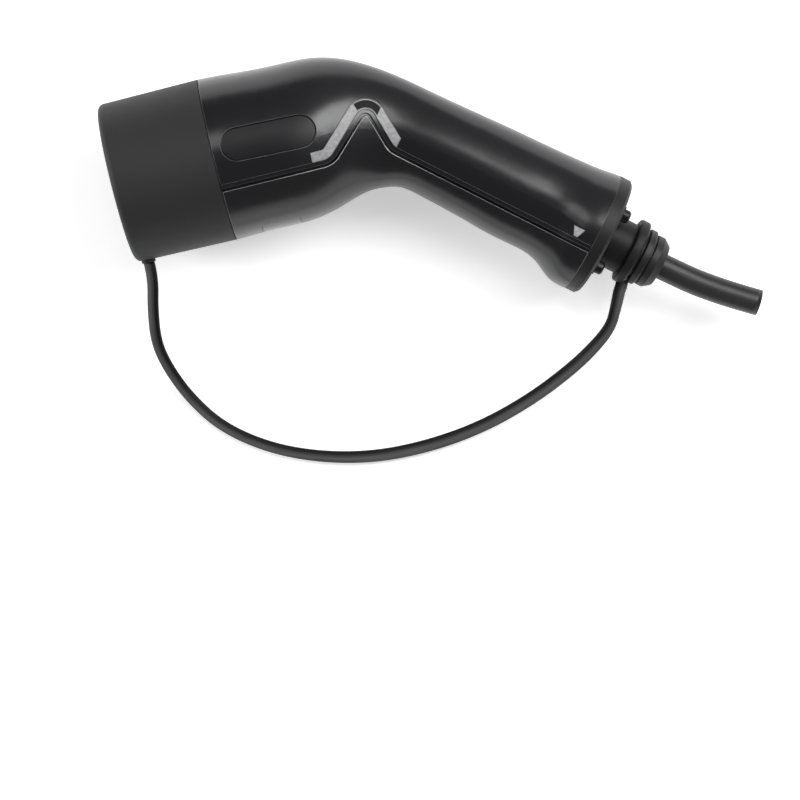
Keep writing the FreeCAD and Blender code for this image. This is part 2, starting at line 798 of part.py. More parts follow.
def build_sleeve():
    """Contact shroud: a round wall with a flat back, a rear flange, a window and a notch."""
    body = new_body("nose_sleeve")
    reach = S["sleeve_reach"]
    radius = sleeve_radius()
    flat = sleeve_flat()
    wall = S["sleeve_wall"]
    full = reach + S["sleeve_seat"]
    outline = new_sketch(body, "sleeve_outline", "YZ_Plane")
    lift(outline, -reach)
    draw_d_shape(outline, radius, flat)
    extrude(body, "Pad", "sleeve_wall_pad", outline, full)
    dress(body, "Fillet", "sleeve_corners", S["sleeve_corner"],
          lambda edge: runs_along(edge) and abs(edge.Vertexes[0].Y - flat.number) < NEAR)
    flange = new_sketch(body, "sleeve_flange_outline", "YZ_Plane")
    lift(flange, S["seal_back"])
    draw_circle(flange, ZERO, ZERO,
                S["front_tall"] / 2 - S["housing_wall"] - S["seat_gap"] - S["clearance"])
    extrude(body, "Pad", "sleeve_flange", flange, S["flange_length"])
    hollow = new_sketch(body, "sleeve_hollow_outline", "YZ_Plane")
    lift(hollow, -reach)
    draw_d_shape(hollow, radius - wall, flat - wall)
    extrude(body, "Pocket", "sleeve_hollow", hollow, full, True)
    window = new_sketch(body, "latch_window_outline", "XZ_Plane")
    start = S["window_setback"] - reach
    half = S["window_width"] / 2
    draw_box(window, start, start + S["window_length"], -half, half)
    extrude(body, "Pocket", "latch_window", window, radius + wall, True)
    notch = new_sketch(body, "key_notch_outline", "XZ_Plane")
    half = S["notch_width"] / 2
    draw_box(notch, -reach - wall, S["notch_depth"] - reach, -half, half)
    extrude(body, "Pocket", "key_notch", notch, radius + wall)
    dress(body, "Chamfer", "rim_edge", S["rim_chamfer"],
          lambda edge: abs(edge.BoundBox.XMin + reach.number) < NEAR
          and edge.BoundBox.XLength < NEAR and edge.Length > 2 * (radius - wall).number)


def contact_places():
    """Each contact's place across the mating face, and whether it is a power contact."""
    pitch = S["power_pitch"]
    side = S["signal_pitch"] / 2
    row = S["signal_row"]
    return {"line": (ZERO, pitch, True), "earth": (ZERO, ZERO, True),
            "neutral": (ZERO, -pitch, True), "proximity": (row, side, False),
            "pilot": (row, -side, False)}


def spare_places():
    """Power towers that hold no contact on a single-phase connector."""
    half = S["power_pitch"] / 2
    return [(-S["lower_row"], half), (-S["lower_row"], -half)]


def retainer_screw_places(circle):
    """Three places evenly round a circle, one at the belly and two beside the flat."""
    angles = [math.radians(mm("retainer_screw_turn") + 120 * index) for index in range(3)]
    return [(circle * math.cos(angle), circle * math.sin(angle)) for angle in angles]


def build_carrier():
    """Contact carrier: a base that fills the shroud, with a tower for each contact."""
    body = new_body("contact_carrier")
    radius = sleeve_radius() - S["sleeve_wall"] - S["clearance"] * 2
    flat = sleeve_flat() - S["sleeve_wall"] - S["clearance"] * 2
    front = S["tower_setback"] - S["sleeve_reach"]
    rear = S["carrier_thickness"] - S["carrier_front"]
    base = new_sketch(body, "carrier_base_outline", "YZ_Plane")
    lift(base, -S["carrier_front"])
    draw_d_shape(base, radius, flat)
    extrude(body, "Pad", "carrier_base", base, S["carrier_thickness"])
    towers = new_sketch(body, "tower_outlines", "YZ_Plane")
    lift(towers, front)
    mouths = contact_places().values()
    for y, z, power in mouths:
        draw_circle(towers, y, z, S["power_tower_radius" if power else "signal_tower_radius"])
    for y, z in spare_places():
        draw_circle(towers, y, z, S["power_tower_radius"])
    extrude(body, "Pad", "towers", towers, -front - S["carrier_front"] + S["skin_depth"])
    openings = new_sketch(body, "mouth_outlines", "YZ_Plane")
    lift(openings, front)
    for y, z, power in mouths:
        mouth = S["power_mouth_radius" if power else "signal_mouth_radius"]
        draw_circle(openings, y, z, mouth + S["mouth_flare"])
    funnels = extrude(body, "Pocket", "contact_mouths", openings, S["mouth_depth"], True)
    slope = math.degrees(math.atan(mm("mouth_flare") / mm("mouth_depth")))
    bind(funnels, "TaperAngle", Size(-slope, "-atan(dims.mouth_flare / dims.mouth_depth)"))
    spare = new_sketch(body, "spare_bore_outlines", "YZ_Plane")
    lift(spare, front)
    for y, z in spare_places():
        draw_circle(spare, y, z, S["power_mouth_radius"])
    extrude(body, "Pocket", "spare_bores", spare, -front - S["carrier_front"], True)
    seats = new_sketch(body, "socket_seat_outlines", "YZ_Plane")
    lift(seats, rear)
    for y, z, power in mouths:
        holder = S["power_socket_radius" if power else "signal_socket_radius"]
        draw_circle(seats, y, z, holder + S["clearance"] / 2)
    extrude(body, "Pocket", "socket_seats", seats, rear - front - S["mouth_depth"])
    threads = new_sketch(body, "carrier_screw_outlines", "YZ_Plane")
    lift(threads, rear)
    for y, z in retainer_screw_places(S["retainer_screw_circle"]):
        draw_circle(threads, y, z, S["retainer_screw_radius"] + S["clearance"] / 2)
    extrude(body, "Pocket", "carrier_screw_holes", threads,
            S["retainer_screw_depth"] + S["clearance"])


def build_tab():
    """Light coding tab that stands on the carrier beside the shroud's flat."""
    body = new_body("coding_tab")
    sketch = new_sketch(body, "coding_tab_outline", "YZ_Plane")
    lift(sketch, S["tower_setback"] - S["sleeve_reach"])
    half = S["tab_width"] / 2
    place = sleeve_flat() - S["sleeve_wall"] - S["tab_setback"]
    draw_box(sketch, place - S["tab_thickness"] / 2, place + S["tab_thickness"] / 2, -half, half)
    extrude(body, "Pad", "coding_tab_pad", sketch,
            S["sleeve_reach"] - S["tower_setback"] - S["carrier_front"])


def build_retainer():
    """Plate behind the carrier that keeps the sockets in, with its three screws."""
    body = new_body("contact_retainer")
    rear = S["carrier_thickness"] - S["carrier_front"]
    sketch = new_sketch(body, "retainer_outline", "YZ_Plane")
    lift(sketch, rear)
    draw_d_shape(sketch, S["retainer_radius"],
                 sleeve_flat() - S["sleeve_wall"] - S["seat_gap"] * 2)
    extrude(body, "Pad", "retainer_pad", sketch, S["retainer_thickness"])
    holes = new_sketch(body, "retainer_hole_outlines", "YZ_Plane")
    lift(holes, rear)
    for y, z, power in contact_places().values():
        draw_circle(holes, y, z, stem_radius(power) + S["clearance"])
    for y, z in retainer_screw_places(S["retainer_screw_circle"]):
        draw_circle(holes, y, z, S["retainer_screw_radius"] + S["clearance"])
    extrude(body, "Pocket", "retainer_holes", holes, S["retainer_thickness"], True)
    head = mm("carrier_thickness") - mm("carrier_front") + mm("retainer_thickness")
    screws = []
    for y, z in retainer_screw_places(S["retainer_screw_circle"]):
        screws.append(screw(Vector(head, y.number, z.number), ALONG, mm("retainer_screw_radius"),
                            mm("retainer_thickness") + mm("retainer_screw_depth"),
                            mm("retainer_head_radius"), mm("retainer_head_height")))
    add_shape("retainer_screws", Part.makeCompound(screws))


# Shares of a screw head's height or radius
HEAD_ROUND = 0.4
CROSS_HALF_LENGTH = 0.55
CROSS_HALF_WIDTH = 0.125
CROSS_FLOOR = 0.45


def screw(seat, outward, radius, length, head_radius, head_height):
    """A pan-head screw with a cross recess; seat is the centre of its head's underside."""
    shank = Part.makeCylinder(radius, length, seat - outward * length, outward)
    head = Part.makeCylinder(head_radius, head_height, seat, outward)
    rim = [edge for edge in head.Edges if isinstance(edge.Curve, Part.Circle)
           and (edge.Curve.Center - seat).Length > head_height / 2]
    head = head.makeFillet(head_height * HEAD_ROUND, rim)
    corner = Vector(-head_radius * CROSS_HALF_LENGTH, -head_radius * CROSS_HALF_WIDTH,
                    head_height * CROSS_FLOOR)
    slot = Part.makeBox(-2 * corner.x, -2 * corner.y, head_height, corner)
    cross = slot.fuse(slot.rotated(Vector(0, 0, 0), UP, 90))
    cross.Placement = Placement(seat, Rotation(UP, outward))
    return head.fuse(shank).cut(cross).removeSplitter()


def stem_radius(power):
    return S["power_wire_radius" if power else "signal_wire_radius"] + S["crimp_wall"]


def socket_rear():
    """Where every socket's crimp ends, on the mating axis."""
    return (S["carrier_thickness"] - S["carrier_front"] + S["retainer_thickness"]
            + S["socket_stem"])


def build_sockets():
    """Turned sockets: a slotted front, a shoulder against the retainer and a crimp."""
    front = S["tower_setback"] + S["mouth_depth"] - S["sleeve_reach"]
    shoulder = S["carrier_thickness"] - S["carrier_front"] - front
    end = socket_rear() - front
    for name, (y, z, power) in contact_places().items():
        kind = "power" if power else "signal"
        bore = S[kind + "_bore_radius"]
        outer = S[kind + "_socket_radius"]
        crimp = S[kind + "_wire_radius"] + S["clearance"] / 2
        label = name + "_socket"
        body = turned_body(label, [
            (ZERO, bore), (ZERO, outer), (shoulder, outer), (shoulder, stem_radius(power)),
            (end, stem_radius(power)), (end, crimp), (end - S["crimp_length"], crimp),
            (end - S["crimp_length"], ZERO), (S["socket_depth"], ZERO), (S["socket_depth"], bore)])
        slot = new_sketch(body, label + "_slot_outline", "XZ_Plane")
        half = S["socket_slot"] / 2
        draw_box(slot, -S["skin_depth"], S["socket_depth"] / 2, -half, half)
        lift(slot, -outer)
        extrude(body, "Pocket", label + "_slot", slot, outer * 2, True)
        body.Placement = Placement(Vector(front.number, y.number, z.number), Rotation())


def build_resistor():
    """Coding resistor between the proximity and earth sockets, behind the retainer."""
    row, side, power = contact_places()["proximity"]
    lead = mm("resistor_lead")
    start = Vector(socket_rear().number - mm("socket_stem") / 2, row.number, side.number)
    towards = Vector(0, -start.y, -start.z).normalize()
    apart = math.hypot(start.y, start.z)
    first = stem_radius(False).number + mm("clearance") / 2
    last = apart - stem_radius(True).number - mm("clearance") / 2
    body = Part.makeCylinder(mm("resistor_radius"), last - first - 2 * lead,
                             start + towards * (first + lead), towards)
    leads = Part.makeCylinder(mm("resistor_lead_radius"), last - first,
                              start + towards * first, towards)
    add_shape("coding_resistor", body.fuse(leads).removeSplitter())


def build_collar():
    """Rear collar: a chamfered rim, a plate with four screw pads and a spigot in the shells."""
    body = new_body("end_collar")
    length = S["collar_length"]
    radius = S["collar_radius"]
    chamfer = S["collar_chamfer"]
    plate = S["collar_plate"]
    hole = S["neck_radius"] + S["clearance"]
    spigot = radius - S["housing_wall"] - S["spigot_gap"]
    inside = spigot - S["collar_spigot_wall"]
    back = length + S["collar_spigot"]
    sketch = new_sketch(body, "collar_profile", "XY_Plane")
    draw_outline(sketch, [(-length, radius), (-chamfer, radius), (ZERO, radius - chamfer),
                          (ZERO, hole), (-plate, hole), (-plate, inside), (-back, inside),
                          (-back, spigot), (-length, spigot)])
    turn_profile(body, sketch)
    pads = new_sketch(body, "screw_pad_outlines", "YZ_Plane")
    holes = new_sketch(body, "collar_hole_outlines", "YZ_Plane")
    lift(holes, -plate)
    for y, z in quarter_places(S["collar_screw_circle"]):
        draw_circle(pads, y, z, S["collar_pad_radius"])
        draw_circle(holes, y, z, S["collar_screw_radius"] + S["clearance"])
    extrude(body, "Pad", "screw_pads", pads, S["collar_pad_height"])
    extrude(body, "Pocket", "collar_holes", holes, plate + S["collar_pad_height"], True)
    body.Placement = tail_frame()
    screws = []
    reach = mm("collar_pad_height") + mm("collar_plate") + mm("gland_flange_thickness")
    for y, z in quarter_places(S["collar_screw_circle"]):
        seat = Vector(mm("collar_pad_height"), y.number, z.number)
        screws.append(screw(seat, ALONG, mm("collar_screw_radius"), reach,
                            mm("collar_head_radius"), mm("collar_head_height")))
    add_shape("collar_screws", Part.makeCompound(screws)).Placement = tail_frame()


def quarter_places(circle):
    """Four places evenly round a circle, two on each side of the plane of the bend."""
    across = circle / Size(math.sqrt(2), "sqrt(2)")
    return [(across, across), (-across, across), (-across, -across), (across, -across)]


def build_gland():
    """Cable entry: flange behind the collar, neck, spout, seal, tether ring and ribbed boot."""
    plate = S["collar_plate"]
    flange = plate + S["gland_flange_thickness"]
    neck = S["neck_length"]
    spout = neck + S["spout_length"]
    bore = S["cable_radius"] + S["clearance"]
    seat = bore + S["grommet_wall"]
    seat_end = S["grommet_length"] - flange
    body = turned_body("gland_body", [
        (-flange, seat), (-flange, S["gland_flange_radius"]), (-plate, S["gland_flange_radius"]),
        (-plate, S["neck_radius"]), (neck, S["neck_radius"]), (neck, S["spout_radius"]),
        (spout, S["spout_radius"]), (spout, bore), (seat_end, bore), (seat_end, seat)])
    holes = new_sketch(body, "flange_hole_outlines", "YZ_Plane")
    lift(holes, -flange)
    for y, z in quarter_places(S["collar_screw_circle"]):
        draw_circle(holes, y, z, S["collar_screw_radius"] + S["clearance"])
    extrude(body, "Pocket", "flange_holes", holes, S["gland_flange_thickness"], True)
    body.Placement = tail_frame()
    grommet = turned_body("cable_grommet", [
        (-flange, bore), (-flange, seat), (seat_end, seat), (seat_end, bore)])
    grommet.Placement = tail_frame()
    ring_end = neck - S["clearance"]
    ring_start = ring_end - S["ring_length"]
    ring_bore = S["neck_radius"] + S["clearance"]
    ring = turned_body("tether_ring", [
        (ring_start, ring_bore), (ring_start, S["ring_radius"]), (ring_end, S["ring_radius"]),
        (ring_end, ring_bore)])
    dress(ring, "Fillet", "ring_rounding", S["ring_round"],
          lambda edge: circle_at(edge, ring_start.number, mm("ring_radius"))
          or circle_at(edge, ring_end.number, mm("ring_radius")))
    lug = new_sketch(ring, "ring_lug_outline", "XY_Plane")
    seat = -(S["neck_radius"] + S["ring_round"])
    along, across = lug_end()
    half_along = Size(math.cos(lug_lean()), "cos(dims.ring_lug_lean)") * S["ring_lug_width"] / 2
    half_across = Size(math.sin(lug_lean()), "sin(dims.ring_lug_lean)") * S["ring_lug_width"] / 2
    draw_outline(lug, [(ring_start + S["clearance"], seat),
                       (along - half_along, across - half_across),
                       (along + half_along, across + half_across),
                       (ring_end + S["ring_lug_flare"], -S["ring_radius"]),
                       (ring_end - S["clearance"], seat)])
    extrude(ring, "Pad", "ring_lug", lug, S["ring_lug_thickness"]).Midplane = True
    ring.Placement = tail_frame()
    start = neck + S["seat_gap"]
    socket = S["spout_radius"] + S["clearance"]
    socket_end = spout + S["clearance"]
    groove = S["boot_groove_radius"]
    ridge = S["boot_ridge_radius"]
    lip = S["boot_lip_radius"]
    first = start + S["boot_groove_length"]
    second = first + S["boot_ridge_length"]
    third = second + S["boot_groove_length"]
    fourth = third + S["boot_ridge_length"]
    end = start + S["boot_length"]
    boot = turned_body("strain_relief_boot", [
        (start, socket), (start, groove), (first, groove), (first, ridge), (second, ridge),
        (second, groove), (third, groove), (third, lip), (fourth, lip), (end, S["boot_end_radius"]),
        (end, bore), (socket_end, bore), (socket_end, socket)])
    rounded = {(first.number, ridge.number), (second.number, ridge.number),
               (third.number, lip.number), (end.number, mm("boot_end_radius"))}
    dress(boot, "Fillet", "boot_rounding", S["boot_round"],
          lambda edge: any(circle_at(edge, along, radius) for along, radius in rounded))
    boot.Placement = tail_frame()


def lug_lean():
    """How far the tether's lug leans to the rear on its ring."""
    return math.radians(mm("ring_lug_lean"))


def lug_end():
    """Centre of the lug's end face, along and across the handle."""
    return (S["neck_length"] - S["clearance"] + S["ring_lug_rear"],
            -(S["ring_radius"] + S["ring_lug_reach"]))


def build_clamp():
    """Two saddles that grip the cable between the cross walls, drawn together by two screws."""
    start = -(mm("clamp_place") + mm("clamp_length"))
    width = mm("clamp_width")
    rise = mm("cable_radius") + mm("clamp_height")
    bore = Part.makeCylinder(mm("cable_radius") + mm("clearance") / 2, mm("clamp_length"),
                             Vector(start, 0, 0), ALONG)
    pitch = mm("clamp_screw_pitch") / 2
    middle = start + mm("clamp_length") / 2
    screws = []
    holes = []
    for side in (-1, 1):
        seat = Vector(middle, rise, side * pitch)
        holes.append(Part.makeCylinder(mm("clamp_screw_radius") + mm("clearance"), 2 * rise,
                                       seat - Vector(0, 2 * rise, 0), Vector(0, 1, 0)))
        screws.append(screw(seat, Vector(0, 1, 0), mm("clamp_screw_radius"),
                            2 * rise - mm("clamp_height") / 4,
                            mm("clamp_head_radius"), mm("clamp_head_height")))
    for name, low in (("clamp_saddle", mm("clamp_split") / 2), ("clamp_base", -rise)):
        block = Part.makeBox(mm("clamp_length"), rise - mm("clamp_split") / 2, width,
                             Vector(start, low, -width / 2))
        long_edges = [edge for edge in block.Edges if runs_along(edge)
                      and abs(abs(edge.Vertexes[0].Y) - rise) < NEAR]
        block = block.makeFillet(mm("clamp_height") / 2, long_edges)
        add_shape(name, block.cut(bore).cut(holes[0]).cut(holes[1])).Placement = tail_frame()
    add_shape("clamp_screws", Part.makeCompound(screws)).Placement = tail_frame()


def runs_along(edge):
    """True for a straight edge along the X axis."""
    box = edge.BoundBox
    return box.XLength > 1 and box.YLength < NEAR and box.ZLength < NEAR


# Cords and wires: straight runs joined by arcs as large as the runs allow
ARC_SHARE = 0.45


def cord_tube(points, radius):
    """A round tube along a route, and the radii of its bends."""
    radii = []
    for index in range(1, len(points) - 1):
        before = points[index] - points[index - 1]
        after = points[index + 1] - points[index]
        turn = before.getAngle(after)
        radii.append(ARC_SHARE * min(before.Length, after.Length) / math.tan(turn / 2))
    path = Part.Wire(rounded_path(points, radii))
    start = Part.Wire([Part.Circle(points[0], points[1] - points[0], radius).toShape()])
    tube = path.makePipeShell([start], True, True)
    expected = math.pi * radius ** 2 * path.Length
    share = tube.Volume / expected
    return tube, path.Length, min(radii), share


def report_cord(label, length, tightest, share):
    print("%s: %.1f mm long, tightest bend %.1f mm, volume %.4f of section times length"
          % (label, length, tightest, share))


def bundle_places():
    """Where each wire lies round the cable's axis: towards the back, and to the left."""
    circle = mm("bundle_radius")
    turn = math.pi / 3
    return {"earth_wire": (-circle, 0.0, "power"),
            "line_wire": (circle * math.cos(turn), circle * math.sin(turn), "power"),
            "neutral_wire": (circle * math.cos(turn), -circle * math.sin(turn), "power"),
            "pilot_wire": (0.0, 0.0, "signal")}


def build_wires():
    """Wires from the crimps round the elbow to the end of the cable's jacket."""
    crimp = socket_rear().number - mm("crimp_length") + mm("clearance")
    elbow = handle_point(mm("tail_y") / math.sin(math.radians(mm("handle_drop"))))
    for label, (back, left, kind) in bundle_places().items():
        y, z, power = contact_places()[label.split("_")[0]]
        outward = Rotation(UP, -mm("handle_drop") / 2).multVec(Vector(0, 1, 0))
        lean = back / math.cos(math.radians(mm("handle_drop") / 2))
        points = [Vector(crimp, y.number, z.number),
                  Vector(crimp + mm("crimp_length") + mm("wire_straight"), y.number, z.number),
                  Vector(elbow.x - mm("wire_gather"), back, left),
                  elbow + outward * lean + UP * left,
                  handle_point(-cable_inside(), back, left)]
        tube, length, tightest, share = cord_tube(points, mm(kind + "_wire_radius"))
        report_cord(label, length, tightest, share)
        add_shape(label, tube)
    core = Part.makeCylinder(mm("cable_radius"), cable_inside() + mm("cable_joint"),
                             Vector(-cable_inside(), 0, 0), ALONG)
    add_shape("cable_inner_end", core).Placement = tail_frame()


# Routes of the free cords between their straight leads, chosen by hand.
# Cable: along and across the working frame.
# Tether: the same, then height above the surface that the connector lies on.
CABLE_ROUTE = [(193.5, -104.4), (211.7, -114.6)]
TETHER_ROUTE = [(-42.6, -54.4, 26.2), (-45.4, -68.5, 18.0), (-43.6, -80.8, 9.4),
                (-37.5, -96.2, 3.4), (-27.0, -111.5, 2.3), (-9.5, -124.8, 2.3),
                (11.5, -134.0, 2.3), (34.5, -139.4, 2.3), (58.5, -140.3, 2.3),
                (82.5, -137.8, 2.3), (106.0, -131.4, 2.3), (127.0, -122.4, 5.5),
                (140.5, -114.2, 13.0), (147.6, -108.2, 19.5)]


def lying_pose():
    """Rolls the connector about its mating axis until its collar meets the surface too."""
    drop = mm("front_tall") / 2 - mm("collar_radius")
    roll = math.degrees(math.asin(drop / -mm("tail_y")))
    return Placement(Vector(0, 0, mm("front_tall") / 2), Rotation(ALONG, roll))


def build_cords():
    """The cable's free end and the tether, in the lying pose."""
    lying = lying_pose()
    joint = mm("cable_joint")
    points = [handle_point(joint), handle_point(joint + mm("cable_lead"))]
    points += [Vector(x, y, 0) for x, y in CABLE_ROUTE]
    points = [lying.multVec(point) for point in points]
    boss = Vector(mm("boss_from_front") - cap_length().number,
                  -cap_front_radius().number - mm("boss_height") - mm("clearance"), 0)
    along, across = [size.number for size in lug_end()]
    lead = mm("tether_ring_lead")
    lug = handle_point(along, across)
    last = handle_point(along + lead * math.sin(lug_lean()), across - lead * math.cos(lug_lean()))
    route = [lying.multVec(boss), lying.multVec(boss + DOWN * mm("tether_cap_lead"))]
    route += [Vector(*place) for place in TETHER_ROUTE]
    route += [lying.multVec(last), lying.multVec(lug)]
    cords = {}
    for label, places in (("cable", points), ("tether", route)):
        tube, length, tightest, share = cord_tube(places, mm(label + "_radius"))
        report_cord(label, length, tightest, share)
        cords[label] = (tube, places)
    return cords


def main():
    build_housing()
    build_cap()
    build_seal()
    build_sleeve()
    build_carrier()
    build_tab()
    build_retainer()
    build_sockets()
    build_resistor()
    build_collar()
    build_gland()
    build_clamp()
    build_wires()
    doc.recompute()
    for piece in pieces.values():
        piece.Placement = lying_pose().multiply(piece.Placement)
    doc.recompute()
    box = FreeCAD.BoundBox()
    for piece in pieces.values():
        box.add(piece.Shape.optimalBoundingBox(False, False))
    home = Vector(-box.Center.x, -box.Center.y, -box.ZMin)
    for label, (tube, points) in build_cords().items():
        add_shape(label, tube)
        for point in points:
            print(label, "point", [round(value, 2) for value in point + home])
    for piece in pieces.values():
        piece.Placement = Placement(home, Rotation()).multiply(piece.Placement)
    doc.recompute()
    check_and_write(home)


def check_and_write(home):
    for thing in doc.Objects:
        if "Invalid" in thing.State or "Error" in thing.State:
            raise ValueError("%s failed: %s" % (thing.Name, thing.State))
    for label, piece in pieces.items():
        if piece.Shape.isNull() or not piece.Shape.isValid() or not piece.Shape.Solids:
            raise ValueError("%s has no valid solid" % label)
    os.makedirs("parts", exist_ok=True)
    for label, piece in pieces.items():
        piece.Shape.exportStep("parts/%s.step" % label)
    print("origin moved by", [round(value, 3) for value in home])
    print("pieces:", len(pieces))


main()
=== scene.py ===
import json
import math

import bmesh
import bpy
from mathutils import Matrix, Vector


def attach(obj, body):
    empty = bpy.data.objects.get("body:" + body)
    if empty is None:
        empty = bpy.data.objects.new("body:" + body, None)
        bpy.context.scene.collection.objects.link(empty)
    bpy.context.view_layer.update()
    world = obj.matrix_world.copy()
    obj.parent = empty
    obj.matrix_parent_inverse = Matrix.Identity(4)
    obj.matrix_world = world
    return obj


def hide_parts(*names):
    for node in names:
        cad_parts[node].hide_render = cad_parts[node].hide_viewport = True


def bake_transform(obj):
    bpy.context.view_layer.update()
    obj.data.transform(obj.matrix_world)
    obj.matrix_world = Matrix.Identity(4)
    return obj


# Looks of a hand-held charging connector that lies on its side on a pale floor, with its
# dust cap on, its tether in a loose loop and a short end of cable. Everything is in metres.

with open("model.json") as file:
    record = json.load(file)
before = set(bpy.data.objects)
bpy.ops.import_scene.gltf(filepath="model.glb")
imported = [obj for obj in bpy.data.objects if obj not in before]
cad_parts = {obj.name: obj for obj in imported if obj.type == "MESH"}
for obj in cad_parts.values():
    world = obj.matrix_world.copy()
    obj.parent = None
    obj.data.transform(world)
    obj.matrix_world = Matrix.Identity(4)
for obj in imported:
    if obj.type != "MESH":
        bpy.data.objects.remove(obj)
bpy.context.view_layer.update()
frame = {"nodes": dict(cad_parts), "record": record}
nodes = frame["nodes"]
MM = 0.001
UP = Vector((0, 0, 1))

# Camera: straight above, turned so that the handle falls to the lower right
PHOTO_TURN = math.radians(-13.65)
PHOTO_CENTRE = Vector((-16.0, -87.5, 35.0)) * MM
PHOTO_SPAN = 341.6 * MM
CAMERA_HEIGHT = 1.2
SENSOR_WIDTH = 36.0


def photo_direction(right, up, towards):
    """A direction given as seen in the picture: to the right, upwards and to the viewer."""
    return Matrix.Rotation(PHOTO_TURN, 3, "Z") @ Vector((right, up, towards))


def add_camera():
    data = bpy.data.cameras.new("camera")
    camera = bpy.data.objects.new("camera", data)
    bpy.context.scene.collection.objects.link(camera)
    bpy.context.scene.camera = camera
    data.sensor_width = SENSOR_WIDTH
    data.lens = SENSOR_WIDTH * CAMERA_HEIGHT / PHOTO_SPAN
    camera.location = PHOTO_CENTRE + UP * CAMERA_HEIGHT
    camera.rotation_euler = (0, 0, PHOTO_TURN)


# Cords: their routes, in millimetres
CABLE_RADIUS = 5.65 * MM
CABLE_ROUTE = [(89.57, -43.64, 26.33), (107.49, -58.73, 24.56), (126.16, -73.1, 22.88),
               (144.36, -83.23, 21.7)]
TETHER_RADIUS = 2.2 * MM
TETHER_ROUTE = [(-106.54, -4.87, 30.86), (-106.54, -11.82, 30.04), (-109.94, -23.81, 26.15),
                (-112.74, -37.91, 17.95), (-110.94, -50.21, 9.35), (-104.84, -65.61, 3.35),
                (-94.34, -80.91, 2.25), (-76.84, -94.21, 2.25), (-55.84, -103.41, 2.25),
                (-32.84, -108.81, 2.25), (-8.84, -109.71, 2.25), (15.16, -107.21, 2.25),
                (38.66, -100.81, 2.25), (59.66, -91.81, 5.45), (73.16, -83.61, 12.95),
                (80.26, -77.61, 19.45), (83.4, -71.55, 23.06), (86.82, -64.37, 23.9)]
ROUTE_STEPS = 12


def smooth_line(route):
    """Points along the smooth line that a route in millimetres controls."""
    data = bpy.data.curves.new("route", "CURVE")
    data.dimensions = "3D"
    data.resolution_u = ROUTE_STEPS
    spline = data.splines.new("NURBS")
    spline.points.add(len(route) - 1)
    for point, place in zip(spline.points, route):
        point.co = (*(Vector(place) * MM), 1)
    spline.use_endpoint_u = True
    spline.order_u = 3
    line = bpy.data.objects.new("route", data)
    mesh = bpy.data.meshes.new_from_object(line)
    points = [vertex.co.copy() for vertex in mesh.vertices]
    bpy.data.objects.remove(line)
    bpy.data.curves.remove(data)
    bpy.data.meshes.remove(mesh)
    return points


def places_along(points):
    """At each point of a line, a matrix that places (sideways, upwards, ahead) there."""
    places = []
    for index, point in enumerate(points):
        before = points[max(index - 1, 0)]
        after = points[min(index + 1, len(points) - 1)]
        ahead = (after - before).normalized()
        side = ahead.cross(UP).normalized()
        turned = Matrix((side, side.cross(ahead), ahead)).transposed()
        places.append(Matrix.Translation(point) @ turned.to_4x4())
    return places


def circle(radius, sides):
    """A round outline as (across, high) pairs."""
    turns = [2 * math.pi * index / sides for index in range(sides)]
    return [(radius * math.cos(turn), radius * math.sin(turn)) for turn in turns]


def mesh_object(name, vertices, faces, smooth=True):
    """A mesh of its own, linked into the scene."""
    mesh = bpy.data.meshes.new(name)
    mesh.from_pydata(vertices, [], faces)
    mesh.polygons.foreach_set("use_smooth", [smooth] * len(mesh.polygons))
    made = bpy.data.objects.new(name, mesh)
    bpy.context.scene.collection.objects.link(made)
    return made


def skin(name, rows, ring=False, smooth=True):
    """A closed skin over rows of points: flat at both ends, or joined into a ring."""
    count = len(rows[0])
    faces = []
    for row in range(len(rows) if ring else len(rows) - 1):
        after = (row + 1) % len(rows)
        for index in range(count):
            following = (index + 1) % count
            faces.append((row * count + index, after * count + index,
                          after * count + following, row * count + following))
    if not ring:
        faces.append(tuple(range(count)))
        faces.append(tuple(reversed(range((len(rows) - 1) * count, len(rows) * count))))
    return mesh_object(name, [point for row in rows for point in row], faces, smooth)


# Attribute of swept pieces: the place in the section, and the way travelled along it
STRAND_LAYER = "strand"


def sweep(name, points, section):
    """A closed skin along a line; section gives the outline at a share of its length."""
    rows = []
    strands = []
    travelled = 0.0
    for index, place in enumerate(places_along(points)):
        outline = section(index / (len(points) - 1))
        travelled += (points[index] - points[max(index - 1, 0)]).length
        rows.append([place @ Vector((across, high, 0)) for across, high in outline])
        for across, high in outline:
            strands += [across, high, travelled]
    swept = skin(name, rows)
    layer = swept.data.attributes.new(STRAND_LAYER, "FLOAT_VECTOR", "POINT")
    layer.data.foreach_set("vector", strands)
    return swept


# Tether: a squared strap, a little wider than it is high
STRAP_SIDES = 40
STRAP_SQUARENESS = 0.55
STRAP_WIDTH = 1.08
STRAP_HEIGHT = 0.88
# Shares of its length between which the outside of its bend widens, and narrows again
WIDENS = (0.35, 0.62)
NARROWS = (0.8, 0.96)
WIDENING = 0.36


def rise(share, start, end):
    """0 before the start, 1 after the end, and a smooth step between them."""
    part = min(max((share - start) / (end - start), 0.0), 1.0)
    return part * part * (3 - 2 * part)


def strap_outline(share=0.0, size=1.0):
    """The strap's section at a share of its length, or the root's at a size of its own."""
    outer = 1 + WIDENING * rise(share, *WIDENS) * (1 - rise(share, *NARROWS))
    outline = []
    for pair in circle(1.0, STRAP_SIDES):
        across, high = (math.copysign(abs(part) ** STRAP_SQUARENESS, part) for part in pair)
        across *= outer if across > 0 else 1.0
        outline.append((TETHER_RADIUS * STRAP_WIDTH * size * across,
                        TETHER_RADIUS * STRAP_HEIGHT * size * high))
    return outline


def add_tether():
    line = smooth_line(TETHER_ROUTE)
    tether = sweep("tether_strap", line, strap_outline)
    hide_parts("tether")
    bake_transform(tether)
    return tether, line


